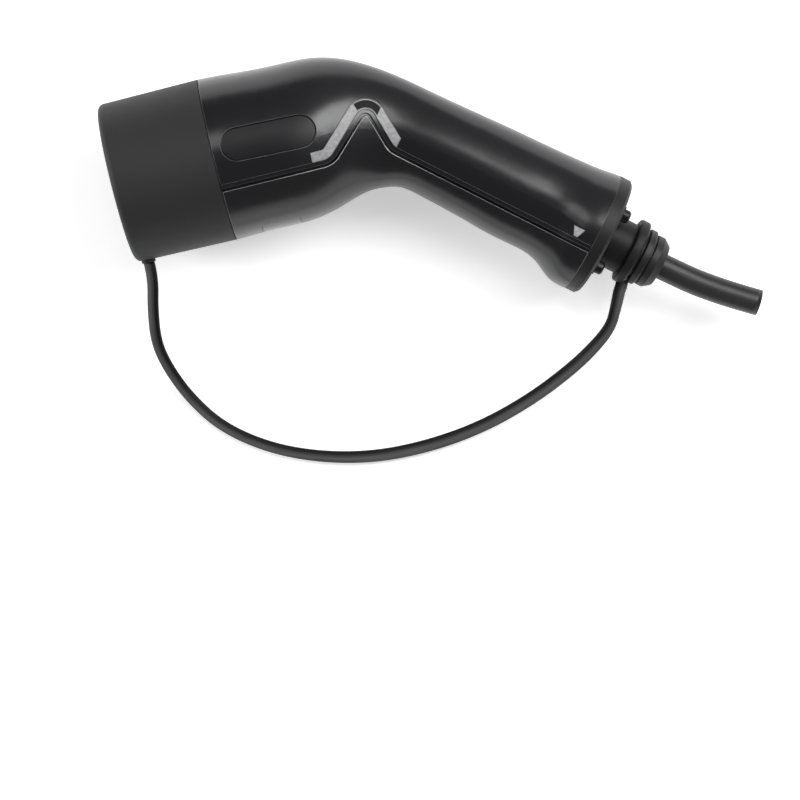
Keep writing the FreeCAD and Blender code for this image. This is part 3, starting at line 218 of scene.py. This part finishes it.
# Where the barrel's axis meets the housing's front, and the middle of the collar's rear face
# from there. HANDLE has X along the handle's axis from that face, Y to the back of the bend
# and Z out of the left side
HOME = Vector((-67.344, 30.593, 35.001)) * MM
LYING_ROLL = math.radians(6.666)
TAIL = Vector((153.1, -71.5, 0.0)) * MM
HANDLE_DROP = math.radians(40.3)
HANDLE = (Matrix.Translation(HOME) @ Matrix.Rotation(LYING_ROLL, 4, "X")
          @ Matrix.Translation(TAIL) @ Matrix.Rotation(-HANDLE_DROP, 4, "Z"))

# The rubber ring on the cable entry, with the root that the tether grows out of
RING_MIDDLE = 13.2 * MM
RING_HALF_LENGTH = 2.3 * MM
RING_RADIUS = 14.5 * MM
RING_BORE = 11.6 * MM
RING_ROUND = 1.1 * MM
RING_ROUND_STEPS = 4
RING_SIDES = 96
# The root: rows shared with the tether, then places on the handle's axes in millimetres
ROOT_ROWS = 14
ROOT_PLACES = [(16.0, -14.9, 0.0), (15.2, -12.6, 0.0)]
ROOT_START = 0.98
ROOT_FLARE = 0.14


def ring_profile():
    """The ring's section as (along, radius) pairs: the bore, then two rounded edges."""
    profile = [(RING_HALF_LENGTH, RING_BORE), (-RING_HALF_LENGTH, RING_BORE)]
    for end, start in ((-1, 2), (1, 1)):
        middle = end * (RING_HALF_LENGTH - RING_ROUND)
        for step in range(RING_ROUND_STEPS + 1):
            turn = math.pi / 2 * (start - step / RING_ROUND_STEPS)
            profile.append((middle + RING_ROUND * math.cos(turn),
                            RING_RADIUS - RING_ROUND + RING_ROUND * math.sin(turn)))
    return profile


def add_ring():
    rows = [[HANDLE @ Vector((RING_MIDDLE + along, radius * across, radius * high))
             for along, radius in ring_profile()]
            for across, high in circle(1.0, RING_SIDES)]
    ring = skin("tether_ring_band", rows, ring=True)
    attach(ring, "connector")
    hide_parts("tether_ring")
    return ring


def add_root(tether_line):
    """Thickens the tether's last stretch and carries it on into the ring."""
    way = tether_line[-ROOT_ROWS:] + [HANDLE @ (Vector(place) * MM) for place in ROOT_PLACES]
    root = sweep("tether_root", way,
                 lambda share: strap_outline(size=ROOT_START + ROOT_FLARE * share))
    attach(root, "connector")
    return root


# The cable's cut end: jacket, filler and insulated cores
JACKET_WALL = 1.3 * MM
JACKET_RECESS = 1.0 * MM
CABLE_SIDES = 64
DISC_DEPTH = 0.5 * MM
DISC_SIDES = 32
DISC_EDGE = 0.12
CORE_RADIUS = 1.6 * MM
CORE_CIRCLE = 2.45 * MM
PILOT_RADIUS = 0.75 * MM
PILOT_CIRCLE = 2.94 * MM
COPPER_SHARE = 0.62
# Each core: its turn round the cable in degrees, its way from the middle and its radius
CORES = {"earth": (90, CORE_CIRCLE, CORE_RADIUS), "line": (210, CORE_CIRCLE, CORE_RADIUS),
         "neutral": (330, CORE_CIRCLE, CORE_RADIUS), "pilot": (150, PILOT_CIRCLE, PILOT_RADIUS)}
# How far each kind of piece lies behind the cut
FILLER_BACK = 0.5 * MM
CORE_BACK = 0.25 * MM
COPPER_BACK = 0.125 * MM


def add_cable():
    """The cable's free end as a jacket with its cores showing in the cut."""
    line = smooth_line(CABLE_ROUTE)
    jacket = sweep("cable_jacket", line, lambda share: circle(CABLE_RADIUS, CABLE_SIDES))
    cut = places_along(line)[-1]
    open_jacket(jacket, cut.col[2].to_3d())
    pieces = fill_cut(cut)
    for piece, slot_name, _ in pieces:
        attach(piece, "connector")
    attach(jacket, "connector")
    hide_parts("cable")
    return jacket, pieces


def open_jacket(jacket, ahead):
    """Turns the flat end face of the jacket into a rim round a shallow recess."""
    shape = bmesh.new()
    shape.from_mesh(jacket.data)
    end = max(shape.faces, key=lambda face: face.calc_center_median().dot(ahead))
    bmesh.ops.inset_individual(shape, faces=[end], thickness=JACKET_WALL)
    for vertex in end.verts:
        vertex.co -= ahead * JACKET_RECESS
    shape.to_mesh(jacket.data)
    shape.free()


def fill_cut(cut):
    """The pieces in the cut, each with its slot and its look."""
    filler = disc("cable_filler", cut, Vector((0, 0, -FILLER_BACK)), CABLE_RADIUS - JACKET_WALL)
    pieces = [(filler, "seal_rubber", "filler")]
    for core, (degrees, reach, radius) in CORES.items():
        turn = math.radians(degrees)
        across = reach * math.cos(turn)
        high = reach * math.sin(turn)
        wall = disc("cable_core_" + core, cut, Vector((across, high, -CORE_BACK)), radius)
        copper = disc("cable_copper_" + core, cut, Vector((across, high, -COPPER_BACK)),
                      radius * COPPER_SHARE)
        pieces.append((wall, "wire_" + core, "wire_" + core))
        pieces.append((copper, "contact_metal", "copper"))
    return pieces


def disc(name, cut, front, radius):
    """A short rod with a softened front edge, its front face at a point of the cut."""
    edge = radius * DISC_EDGE
    rows = []
    for reach, back in ((radius, DISC_DEPTH), (radius, edge), (radius - edge, 0.0)):
        rows.append([cut @ (front + Vector((across, high, -back)))
                     for across, high in circle(reach, DISC_SIDES)])
    return skin(name, rows, smooth=False)


class ShaderTree:
    """Adds nodes to the tree of a material or of the world."""

    def __init__(self, tree):
        self.tree = tree

    def add(self, kind, settings=None, **inputs):
        """Adds a node, sets its own settings and then its inputs, by value or by link."""
        made = self.tree.nodes.new(kind)
        for name, value in (settings or {}).items():
            setattr(made, name, value)
        for name, value in inputs.items():
            self.feed(made.inputs[name.replace("_", " ")], value)
        return made

    def feed(self, socket, value):
        if isinstance(value, bpy.types.NodeSocket):
            self.tree.links.new(value, socket)
        else:
            socket.default_value = value

    def combine(self, operation, first, second, kind="ShaderNodeMath"):
        """The value that two numbers, or two vectors with the vector kind of node, give."""
        made = self.add(kind, {"operation": operation})
        self.feed(made.inputs[0], first)
        self.feed(made.inputs[1], second)
        return made.outputs["Value"]

    def combine_vectors(self, operation, first, second):
        return self.combine(operation, first, second, "ShaderNodeVectorMath")

    def spread(self, value, low, high, start=0.0, end=1.0):
        """Low at the start, high at the end, and drawn out between them."""
        made = self.add("ShaderNodeMapRange", Value=value, From_Min=start, From_Max=end,
                        To_Min=low, To_Max=high)
        return made.outputs["Result"]


BEVEL_SAMPLES = 6
# How far an edge's rounded normal leans before its painted highlight begins to show, and shows in
# full
GLINT_BEGINS = 0.985
GLINT_IN_FULL = 0.88
# The belly shell's painted edge highlight is brightest around the tip of the V, and fades to a
# share of that further away
V_TIP = Vector((-2.0, 32.0, 64.0)) * MM
GLINT_NEAR = 22 * MM
GLINT_FAR = 48 * MM
GLINT_FAR_SHARE = 0.3


class Recipe(ShaderTree):
    """A procedural material: a Principled shader and the nodes that feed it."""

    def __init__(self, name, roughness, specular=0.5, metallic=0.0):
        self.material = bpy.data.materials.new(name)
        self.material.use_nodes = True
        super().__init__(self.material.node_tree)
        self.surface = self.tree.nodes["Principled BSDF"].inputs
        self.surface["Roughness"].default_value = roughness
        self.surface["Specular IOR Level"].default_value = specular
        self.surface["Metallic"].default_value = metallic
        self.place = self.add("ShaderNodeTexCoord").outputs["Object"]

    def noise(self, size, detail=2.0):
        """Soft noise with features of about a size in metres."""
        made = self.add("ShaderNodeTexNoise", Vector=self.place, Scale=1 / size, Detail=detail)
        return made.outputs["Fac"]

    def strand(self):
        return self.add("ShaderNodeAttribute", {"attribute_name": STRAND_LAYER}).outputs["Vector"]

    def streaks(self, size, stretch):
        """Noise on a swept piece, drawn out along its length."""
        scaled = self.add("ShaderNodeMapping", Vector=self.strand(), Scale=(1, 1, 1 / stretch))
        made = self.add("ShaderNodeTexNoise", Vector=scaled.outputs["Vector"], Scale=1 / size)
        return made.outputs["Fac"]

    def rounded(self, radius):
        """Normals of the surface as if its edges were rounded by a radius."""
        made = self.add("ShaderNodeBevel", {"samples": BEVEL_SAMPLES}, Radius=radius)
        return made.outputs["Normal"]

    def painted_glint(self, radius, around=None):
        """A share of painted edge highlight that rises to 1 on edges within a radius, and is less
        far from a place.
        """
        flat = self.add("ShaderNodeNewGeometry").outputs["Normal"]
        lean = self.combine_vectors("DOT_PRODUCT", self.rounded(radius), flat)
        most = 1.0
        if around is not None:
            away = self.combine_vectors("DISTANCE", self.place, around)
            most = self.spread(away, 1.0, GLINT_FAR_SHARE, GLINT_NEAR, GLINT_FAR)
        return self.spread(lean, 0.0, most, GLINT_BEGINS, GLINT_IN_FULL)

    def mix(self, share, first, second):
        """A colour between two colours."""
        made = self.add("ShaderNodeMix", {"data_type": "RGBA"})
        sockets = {socket.identifier: socket for socket in (*made.inputs, *made.outputs)}
        self.feed(sockets["Factor_Float"], share)
        self.feed(sockets["A_Color"], first)
        self.feed(sockets["B_Color"], second)
        return sockets["Result_Color"]

    def relief(self, height, depth, edge=0.0):
        """Bump of a depth in metres, over edges that look rounded by a radius."""
        bump = self.add("ShaderNodeBump", Height=height, Distance=depth)
        if edge:
            self.feed(bump.inputs["Normal"], self.rounded(edge))
        self.feed(self.surface["Normal"], bump.outputs["Normal"])


def shades(colour, spread):
    """A darker and a lighter shade of a colour."""
    return [(*(value * (1 + side * spread) for value in colour), 1) for side in (-1, 1)]


GLOSS_PATCH = 7 * MM


def moulded(name, colour, roughness, grain, depth, edge, gloss=0.08, mottle=0.12,
            patch=18 * MM, rim=0.0, glint_around=None, **shader):
    """Moulded plastic or rubber: fine grain, uneven gloss and tone, and edges painted paler as a
    highlight.

    Grain and patch are sizes, gloss and mottle say how far the roughness and the tone vary,
    edge is the radius that edges look rounded by, and rim is the tone of the highlight painted on
    those edges."""
    recipe = Recipe(name, roughness, **shader)
    tone = recipe.mix(recipe.noise(patch, detail=3.0), *shades(colour, mottle))
    # Painted highlight: edges take a paler colour, as if they caught the light
    if rim:
        tone = recipe.mix(recipe.painted_glint(edge, glint_around), tone, (rim, rim, rim, 1))
    recipe.feed(recipe.surface["Base Color"], tone)
    uneven = recipe.spread(recipe.noise(GLOSS_PATCH, detail=4.0), roughness - gloss,
                           roughness + gloss)
    recipe.feed(recipe.surface["Roughness"], uneven)
    recipe.relief(recipe.noise(grain, detail=3.0), depth, edge)
    return recipe.material


# Extruded rubber: how far from its middle the painted light changes the tone from shaded to lit,
# its streaks and grooves, and how its roughness varies
LIT_SIDE_REACH = 1.0 * MM
STREAK_SIZE = 0.5 * MM
STREAK_STRETCH = 40
STREAK_CONTRAST = (0.3, 1.7)
GROOVE_STRETCH = 15
GROOVE_DEPTH = 0.05 * MM
STRAND_PATCH = 5 * MM
STRAND_GLOSS = (-0.05, 0.08)


def streaked(name, dark, light, roughness, specular):
    """Extruded rubber: fine streaks along its length, with painted light: paler towards the
    outside of its bend as if lit, darker on the inside as if shaded.
    """
    recipe = Recipe(name, roughness, specular)
    across = recipe.add("ShaderNodeSeparateXYZ", Vector=recipe.strand()).outputs["X"]
    # Painted light: the outer side is painted lit and the inner side shaded, in the colour itself
    side = recipe.spread(across, 0.0, 1.0, -LIT_SIDE_REACH, LIT_SIDE_REACH)
    streaks = recipe.spread(recipe.streaks(STREAK_SIZE, STREAK_STRETCH), *STREAK_CONTRAST)
    tone = recipe.mix(recipe.combine("MULTIPLY", side, streaks), (*dark, 1), (*light, 1))
    recipe.feed(recipe.surface["Base Color"], tone)
    low, high = (roughness + change for change in STRAND_GLOSS)
    uneven = recipe.spread(recipe.noise(STRAND_PATCH, detail=4.0), low, high)
    recipe.feed(recipe.surface["Roughness"], uneven)
    recipe.relief(recipe.streaks(STREAK_SIZE, GROOVE_STRETCH), GROOVE_DEPTH)
    return recipe.material


def housing_looks():
    """Satin black shells and panels, textured grey trims, dark windows and a glossy plate."""
    satin = {"colour": (0.0055, 0.0055, 0.0068), "grain": 0.35 * MM, "depth": 0.003 * MM,
             "gloss": 0.03}
    return {
        # Edges of the shells, trims and windows get a paler painted highlight in their colour
        "shell_plastic": moulded("shell_satin", roughness=0.25, edge=0.35 * MM, rim=0.16,
                                 **satin),
        # The belly's painted edge highlight is brightest round the tip of the V
        "belly_plastic": moulded("belly_satin", roughness=0.25, edge=0.6 * MM, rim=0.75,
                                 glint_around=V_TIP, **satin),
        "panel_plastic": moulded("panel_satin", roughness=0.4, edge=0.2 * MM, specular=0.3,
                                 **satin),
        "trim_grey": moulded("trim_textured", (0.34, 0.34, 0.345), roughness=0.45,
                             grain=0.28 * MM, depth=0.08 * MM, edge=0.2 * MM, mottle=0.6,
                             patch=1.4 * MM, rim=0.55),
        "window_dark": moulded("window_gloss", (0.004, 0.004, 0.005), roughness=0.45,
                               grain=0.5 * MM, depth=0.08 * MM, edge=0.15 * MM, gloss=0.2,
                               specular=0.12, rim=0.3),
        "plate_gloss": moulded("plate_glossy", (0.008, 0.008, 0.009), roughness=0.12,
                               grain=1.5 * MM, depth=0.001 * MM, edge=0.15 * MM, gloss=0.03),
    }


def front_looks():
    """Matte cap, seal and shroud, with the insulating carrier and its pale tab inside."""
    return {
        "cap_rubber": moulded("cap_matte", (0.017, 0.017, 0.0174), roughness=0.62,
                              grain=0.25 * MM, depth=0.012 * MM, edge=0.3 * MM, gloss=0.04,
                              specular=0.4),
        "seal_rubber": moulded("seal_matte", (0.012, 0.012, 0.0125), roughness=0.55,
                               grain=0.3 * MM, depth=0.01 * MM, edge=0.1 * MM),
        "sleeve_plastic": moulded("sleeve_matte", (0.02, 0.019, 0.0185), roughness=0.5,
                                  grain=0.3 * MM, depth=0.012 * MM, edge=0.2 * MM),
        "carrier_plastic": moulded("carrier_matte", (0.018, 0.018, 0.018), roughness=0.5,
                                   grain=0.3 * MM, depth=0.01 * MM, edge=0.15 * MM),
        "tab_plastic": moulded("tab_pale", (0.5, 0.5, 0.5), roughness=0.45, grain=0.3 * MM,
                               depth=0.01 * MM, edge=0.1 * MM, mottle=0.04),
    }


def entry_looks():
    """Collar, gland, boot and ring, the streaked tether and the cable's jacket."""
    return {
        # The collar's edges are painted a little paler, as a highlight
        "collar_plastic": moulded("collar_matte", (0.01, 0.0098, 0.0097), roughness=0.45,
                                  grain=0.3 * MM, depth=0.01 * MM, edge=0.3 * MM, rim=0.06,
                                  specular=0.3),
        "gland_plastic": moulded("gland_gloss", (0.012, 0.012, 0.0127), roughness=0.45,
                                 grain=0.6 * MM, depth=0.004 * MM, edge=0.2 * MM, gloss=0.05,
                                 specular=0.2),
        "boot_rubber": moulded("boot_satin", (0.014, 0.014, 0.0145), roughness=0.45,
                               grain=0.3 * MM, depth=0.008 * MM, edge=0.2 * MM, specular=0.35),
        "ring_rubber": moulded("ring_satin", (0.012, 0.012, 0.0124), roughness=0.5,
                               grain=0.3 * MM, depth=0.008 * MM, edge=0.2 * MM, specular=0.25),
        # Painted light: the tether and the jacket are paler on the outer side and darker on the
        # inner side
        "tether_rubber": streaked("tether_satin", (0.004, 0.004, 0.0042),
                                  (0.085, 0.085, 0.085), roughness=0.5, specular=0.2),
        "cable_jacket": streaked("jacket_satin", (0.012, 0.012, 0.0124),
                                 (0.022, 0.022, 0.0225), roughness=0.36, specular=0.45),
    }


def metal_looks():
    """Blackened and plated screws, brass contacts and copper conductors."""
    screw = {"grain": 0.4 * MM, "depth": 0.006 * MM, "edge": 0.1 * MM}
    return {
        "screw_dark": moulded("screw_blackened", (0.03, 0.03, 0.032), roughness=0.35,
                              metallic=0.9, **screw),
        "screw_steel": moulded("screw_plated", (0.56, 0.55, 0.53), roughness=0.28,
                               metallic=1.0, **screw),
        "contact_metal": moulded("contact_brass", (0.72, 0.5, 0.22), roughness=0.25,
                                 grain=0.3 * MM, depth=0.006 * MM, edge=0.1 * MM,
                                 metallic=1.0),
        "copper": moulded("conductor_copper", (0.75, 0.36, 0.2), roughness=0.35,
                          grain=0.35 * MM, depth=0.08 * MM, edge=0.02 * MM, metallic=1.0),
    }


def wiring_looks():
    """Coloured insulation, the cable's fibrous filler and the glazed resistor."""
    insulation = {"earth": (0.1, 0.3, 0.05), "line": (0.16, 0.065, 0.025),
                  "neutral": (0.02, 0.07, 0.3), "pilot": (0.4, 0.4, 0.4)}
    looks = {
        "filler": moulded("filler_fibre", (0.2, 0.19, 0.17), roughness=0.8, grain=0.4 * MM,
                          depth=0.06 * MM, edge=0.02 * MM),
        "resistor_ceramic": moulded("resistor_glaze", (0.32, 0.42, 0.52), roughness=0.3,
                                    grain=0.5 * MM, depth=0.005 * MM, edge=0.1 * MM),
    }
    for wire, colour in insulation.items():
        looks["wire_" + wire] = moulded("insulation_" + wire, colour, roughness=0.4,
                                        grain=0.3 * MM, depth=0.008 * MM, edge=0.05 * MM)
    return looks


# Solids with a look other than their slot's
OWN_LOOKS = {"belly_shell": "belly_plastic"}
POLE_GROUP = "pole"
POLE_REACH = 0.001 * MM


def dress_nodes(looks):
    """Gives every solid of the frame the look of its slot, or one of its own."""
    for part in frame["record"]["subparts"]:
        node = nodes[part["node"]]
        look = OWN_LOOKS.get(part["node"], part["material_slot"])
        node.data.materials.clear()
        node.data.materials.append(looks[look])
    even_pole(nodes["dust_cap"])


def even_pole(node):
    """Shades the middle of a domed front evenly, where the solid's facets meet in one point."""
    tip = min(vertex.co.x for vertex in node.data.vertices)
    pole = [vertex.index for vertex in node.data.vertices if vertex.co.x < tip + POLE_REACH]
    node.vertex_groups.new(name=POLE_GROUP).add(pole, 1.0, "REPLACE")
    joined = node.modifiers.new("join_pole", "WELD")
    joined.merge_threshold = POLE_REACH
    joined.vertex_group = POLE_GROUP
    node.modifiers.new("even_pole", "WEIGHTED_NORMAL").vertex_group = POLE_GROUP


# Floor: pale, and lifted to white with the way from the middle
FLOOR_HALF = 30.0
FLOOR_COLOUR = (0.92, 0.92, 0.925)
FLOOR_PATCH = 60 * MM
FLOOR_MOTTLE = 0.004
LIFT_NEAR = 0.45
LIFT_FAR = 1.0
LIFT_FROM = 0.4
LIFT_TO = 2.0


def add_floor():
    corners = [Vector((across * FLOOR_HALF, along * FLOOR_HALF, 0))
               for across, along in ((-1, -1), (1, -1), (1, 1), (-1, 1))]
    floor = mesh_object("floor", corners, [(0, 1, 2, 3)])
    recipe = Recipe("floor_pale", roughness=0.9, specular=0.1)
    tone = recipe.mix(recipe.noise(FLOOR_PATCH), *shades(FLOOR_COLOUR, FLOOR_MOTTLE))
    recipe.feed(recipe.surface["Base Color"], tone)
    lift_background(recipe)
    floor.data.materials.append(recipe.material)


def lift_background(recipe):
    """Adds white, most far away, to what the camera and reflections see of the floor."""
    rays = recipe.add("ShaderNodeLightPath").outputs
    seen = rays["Is Camera Ray"]
    for name in ("Is Glossy Ray", "Is Transmission Ray"):
        seen = recipe.combine("MAXIMUM", seen, rays[name])
    away = recipe.combine_vectors("DISTANCE", recipe.place, (0, 0, 0))
    lift = recipe.spread(away, LIFT_NEAR, LIFT_FAR, LIFT_FROM, LIFT_TO)
    recipe.surface["Emission Color"].default_value = (1, 1, 1, 1)
    recipe.feed(recipe.surface["Emission Strength"], recipe.combine("MULTIPLY", seen, lift))


# Broad light from the room: a direction as seen in the picture, and a strength
ROOM_LIGHT = [((0.6, 0.6, 0.5), 0.43), ((0.7, -0.6, 0.4), 0.2), ((-0.8, 0.3, 0.5), 0.16),
              ((-0.3, -0.9, 0.4), 0.18)]
# Softboxes: a direction as seen in the picture, the width in metres and a strength
SOFTBOX_DISTANCE = 1.6
SOFTBOXES = {"shoulder_softbox": ((0.66, 0.38, 0.65), 0.75, 8.0),
             "bend_softbox": ((0.42, 0.32, 0.85), 0.6, 2.8),
             "handle_softbox": ((0.30, 0.30, 0.90), 0.35, 2.9),
             "barrel_softbox": ((-0.12, 0.40, 0.90), 0.5, 3.2),
             "side_softbox": ((-1.0, 0.1, 0.45), 0.8, 8.0)}


def add_room():
    """Broad light that falls off smoothly round each direction."""
    world = bpy.data.worlds.new("studio")
    bpy.context.scene.world = world
    world.use_nodes = True
    room = ShaderTree(world.node_tree)
    direction = room.add("ShaderNodeTexCoord").outputs["Generated"]
    total = 0.0
    for axis, strength in ROOM_LIGHT:
        towards = photo_direction(*axis).normalized()
        facing = room.combine_vectors("DOT_PRODUCT", direction, towards)
        shown = room.spread(facing, 0.0, strength ** 0.5)
        total = room.combine("ADD", room.combine("MULTIPLY", shown, shown), total)
    background = room.tree.nodes["Background"].inputs
    background["Color"].default_value = (1, 1, 1, 1)
    room.feed(background["Strength"], total)


def add_softbox(name, direction, width, strength):
    """A soft square light, aimed at the connector."""
    data = bpy.data.lights.new(name, "AREA")
    data.size = width
    data.energy = strength * math.pi * width ** 2
    light = bpy.data.objects.new(name, data)
    bpy.context.scene.collection.objects.link(light)
    towards = direction.normalized()
    light.location = PHOTO_CENTRE + towards * SOFTBOX_DISTANCE
    light.rotation_euler = towards.to_track_quat("Z", "Y").to_euler()


def main():
    add_camera()
    tether, tether_line = add_tether()
    ring = add_ring()
    root = add_root(tether_line)
    jacket, cut_pieces = add_cable()
    looks = {**housing_looks(), **front_looks(), **entry_looks(), **metal_looks(),
             **wiring_looks()}
    dress_nodes(looks)
    own_pieces = [(tether, "tether_rubber"), (root, "tether_rubber"), (ring, "ring_rubber"),
                  (jacket, "cable_jacket")]
    own_pieces += [(piece, look) for piece, _, look in cut_pieces]
    for piece, look in own_pieces:
        piece.data.materials.append(looks[look])
    add_floor()
    add_room()
    for name, (axis, width, strength) in SOFTBOXES.items():
        add_softbox(name, photo_direction(*axis), width, strength)
    bpy.context.scene.view_settings.view_transform = "Standard"


main()
